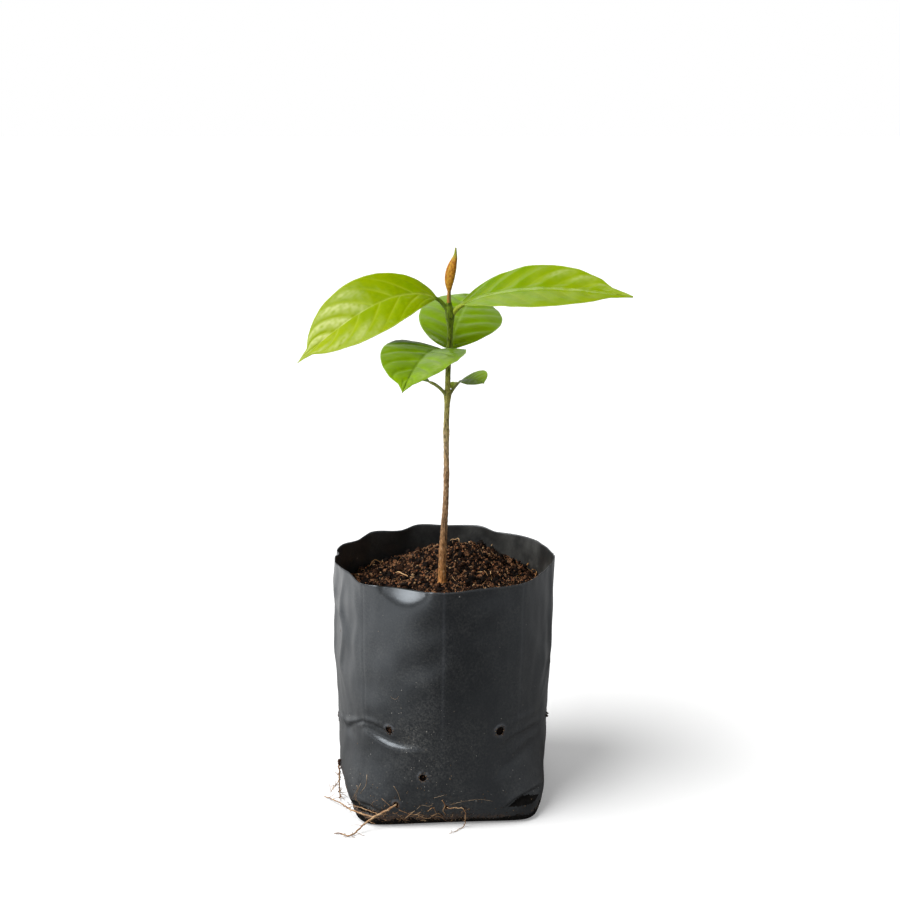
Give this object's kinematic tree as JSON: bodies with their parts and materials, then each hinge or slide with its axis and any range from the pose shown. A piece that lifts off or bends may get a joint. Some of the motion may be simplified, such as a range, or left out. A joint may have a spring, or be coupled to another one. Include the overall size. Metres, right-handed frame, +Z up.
{
  "type": "potted broadleaf sapling",
  "caption": "Young broadleaf tree sapling with a slender stem and glossy drip-tip leaves, in a filled black polythene nursery bag with roots growing out of its drain holes.",
  "frame": {"origin": "middle of the flat underside of the nursery bag", "axes": "+Z up along the stem, +X to the right and +Y to the back when the plant is seen from its front"},
  "size_m": [0.1382, 0.1278, 0.243],
  "materials": {
    "black_polythene": "semi-gloss black film with dust",
    "coir_and_loam": "loose moist granules",
    "green_bark": "young bark, olive above and orange brown at the foot",
    "green_shoot": "smooth green shoot",
    "fresh_leaf": "waxy yellow green leaf",
    "old_leaf": "waxy mid green leaf",
    "bronze_leaf": "young bronze leaf",
    "root_bark": "dry fibrous root"
  },
  "bodies": {
    "root": {"bag": "black_polythene", "root_ball": "coir_and_loam", "stem": "green_bark", "petiole_upper_left": "green_shoot", "petiole_upper_right": "green_shoot", "petiole_middle_front": "green_shoot", "petiole_middle_back": "green_shoot", "petiole_lower_left": "green_shoot", "petiole_lower_right": "green_shoot", "leaf_upper_left": "fresh_leaf", "leaf_upper_right": "fresh_leaf", "leaf_middle_front": "old_leaf", "leaf_middle_back": "old_leaf", "leaf_lower_left": "old_leaf", "leaf_lower_right": "old_leaf", "leaf_lower_axil": "old_leaf", "shoot_lower_axil": "green_shoot", "bud_stalk": "green_shoot", "bud_leaf_front": "bronze_leaf", "bud_leaf_back": "bronze_leaf", "root_corner": "root_bark", "root_side": "root_bark", "root_front": "root_bark"}
  },
  "joints": []
}
